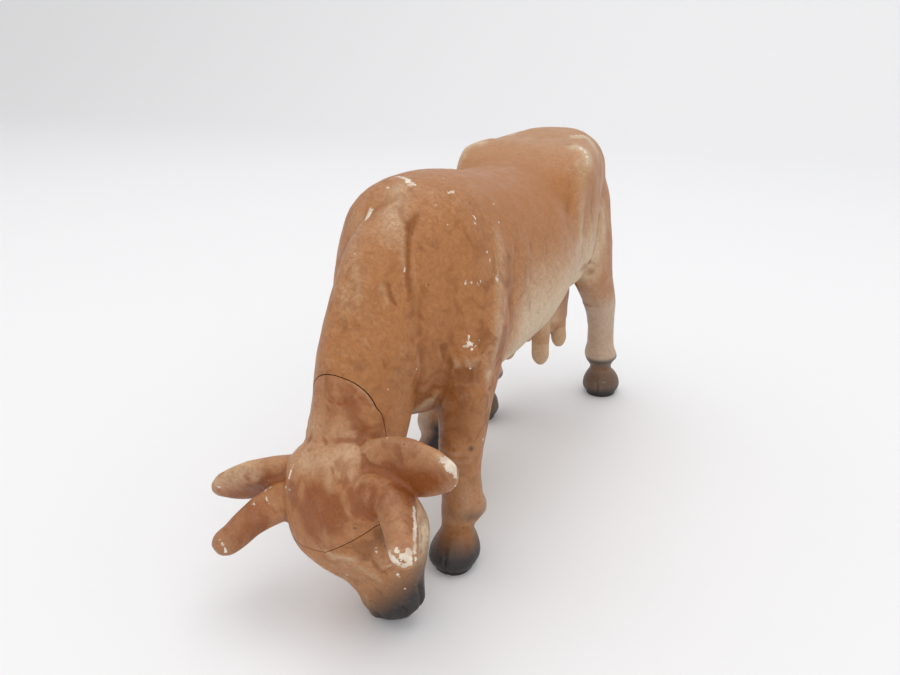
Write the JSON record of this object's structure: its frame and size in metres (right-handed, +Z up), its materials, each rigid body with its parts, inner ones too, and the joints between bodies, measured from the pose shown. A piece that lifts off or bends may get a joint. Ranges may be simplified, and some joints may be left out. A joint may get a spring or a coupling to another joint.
{
  "type": "toy farm animal figure",
  "caption": "Grazing toy cow moulded in soft plastic, standing on flat soles with its head down, with plugged-in crown, legs, udder and tail.",
  "frame": {"origin": "middle of the figure's bounding box at the ground, under the belly", "axes": "+Z up from the soles, -Y towards the head, +Y towards the tail, +X to the cow's left"},
  "size_m": [0.0546, 0.137, 0.0777],
  "materials": {
    "coat": "satin airbrushed brown paint over cream soft plastic",
    "crown": "satin airbrushed orange-brown paint over cream soft plastic",
    "legs": "satin airbrushed brown paint, dark grey on the hooves",
    "udder": "satin airbrushed light brown paint over cream soft plastic",
    "tail": "satin airbrushed brown paint, dark at the switch"
  },
  "bodies": {
    "root": {"body": "coat", "crown": "crown", "foreleg_left": "legs", "foreleg_right": "legs", "hindleg_left": "legs", "hindleg_right": "legs", "tail": "tail", "udder": "udder"}
  },
  "joints": []
}
